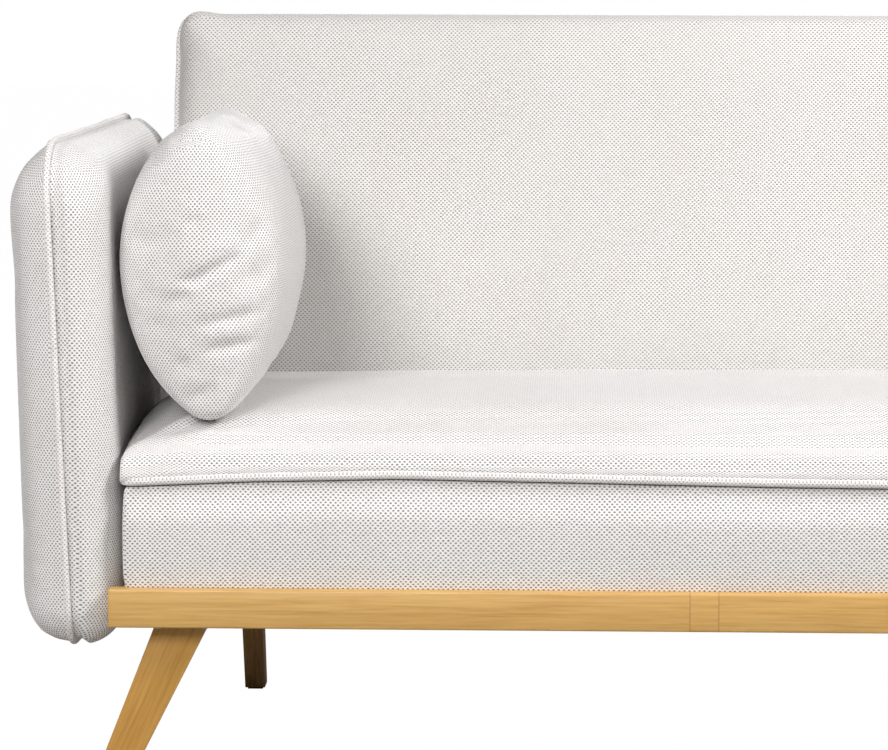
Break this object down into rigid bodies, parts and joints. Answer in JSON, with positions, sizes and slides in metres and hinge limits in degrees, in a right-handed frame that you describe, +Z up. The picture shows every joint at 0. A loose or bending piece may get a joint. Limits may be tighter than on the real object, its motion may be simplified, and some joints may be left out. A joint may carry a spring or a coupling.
{
  "type": "sofa bed",
  "caption": "Upholstered sofa bed with slab arms, a folding back, loose side pillows and a wooden base on splayed tapered legs.",
  "frame": {"origin": "middle of the footprint on the floor", "axes": "+X to the right seen from the front, +Y to the rear, +Z up"},
  "size_m": [1.8896, 0.7248, 0.8192],
  "materials": {
    "woven_fabric": "basket weave",
    "honey_wood": "satin lacquer",
    "dark_wood": "dark stain, satin",
    "frame_timber": "sawn",
    "webbing": "woven elastic",
    "felt": "pressed fibre",
    "foam": "open cell",
    "dust_cloth": "spun bonded",
    "black_plastic": "moulded",
    "steel": "zinc plated"
  },
  "bodies": {
    "base": {"arm_bolts": "steel", "centre_cross_rail": "frame_timber", "corner_blocks": "frame_timber", "front_left_leg": "honey_wood", "front_rail": "honey_wood", "front_right_leg": "honey_wood", "left_arm_inner_pad": "woven_fabric", "left_arm_outer_pad": "woven_fabric", "left_arm_panel": "frame_timber", "left_arm_welt": "woven_fabric", "left_hinge_pin": "steel", "left_ratchet_cover": "black_plastic", "left_seat_hinge_plate": "steel", "left_seat_side_board": "frame_timber", "left_seat_side_border": "woven_fabric", "left_side_rail": "frame_timber", "leg_bolts": "steel", "leg_glides": "black_plastic", "leg_plate_screws": "steel", "leg_plates": "steel", "rear_left_leg": "dark_wood", "rear_rail": "frame_timber", "rear_right_leg": "dark_wood", "right_arm_inner_pad": "woven_fabric", "right_arm_outer_pad": "woven_fabric", "right_arm_panel": "frame_timber", "right_arm_welt": "woven_fabric", "right_hinge_pin": "steel", "right_ratchet_cover": "black_plastic", "right_seat_hinge_plate": "steel", "right_seat_side_board": "frame_timber", "right_seat_side_border": "woven_fabric", "right_side_rail": "frame_timber", "seat_centre_bar": "frame_timber", "seat_dust_cover": "dust_cloth", "seat_felt": "felt", "seat_foam": "foam", "seat_front_board": "frame_timber", "seat_front_border": "woven_fabric", "seat_hinge_screws": "steel", "seat_rear_board": "frame_timber", "seat_rear_border": "woven_fabric", "seat_top_pad": "woven_fabric", "seat_webbing": "webbing", "seat_welt": "woven_fabric"},
    "back": {"back_bottom_board": "frame_timber", "back_centre_board": "frame_timber", "back_front_pad": "woven_fabric", "back_hinge_screws": "steel", "back_rear_pad": "woven_fabric", "back_top_board": "frame_timber", "back_webbing": "webbing", "back_welt": "woven_fabric", "left_back_hinge_plate": "steel", "left_back_side_board": "frame_timber", "right_back_hinge_plate": "steel", "right_back_side_board": "frame_timber"},
    "left_pillow": {"left_pillow": "woven_fabric"},
    "right_pillow": {"right_pillow": "woven_fabric"}
  },
  "joints": [
    {"name": "back_recline", "type": "hinge", "parent": "base", "child": "back", "pos_m": [0, 0.17308, 0.331], "axis": [-1, 0, 0], "range_deg": [-10, 72]},
    {"name": "left_pillow_lift", "type": "slide", "parent": "base", "child": "left_pillow", "axis": [0, 0, 1], "range_m": [0, 0.4]},
    {"name": "right_pillow_lift", "type": "slide", "parent": "base", "child": "right_pillow", "axis": [0, 0, 1], "range_m": [0, 0.4]}
  ]
}
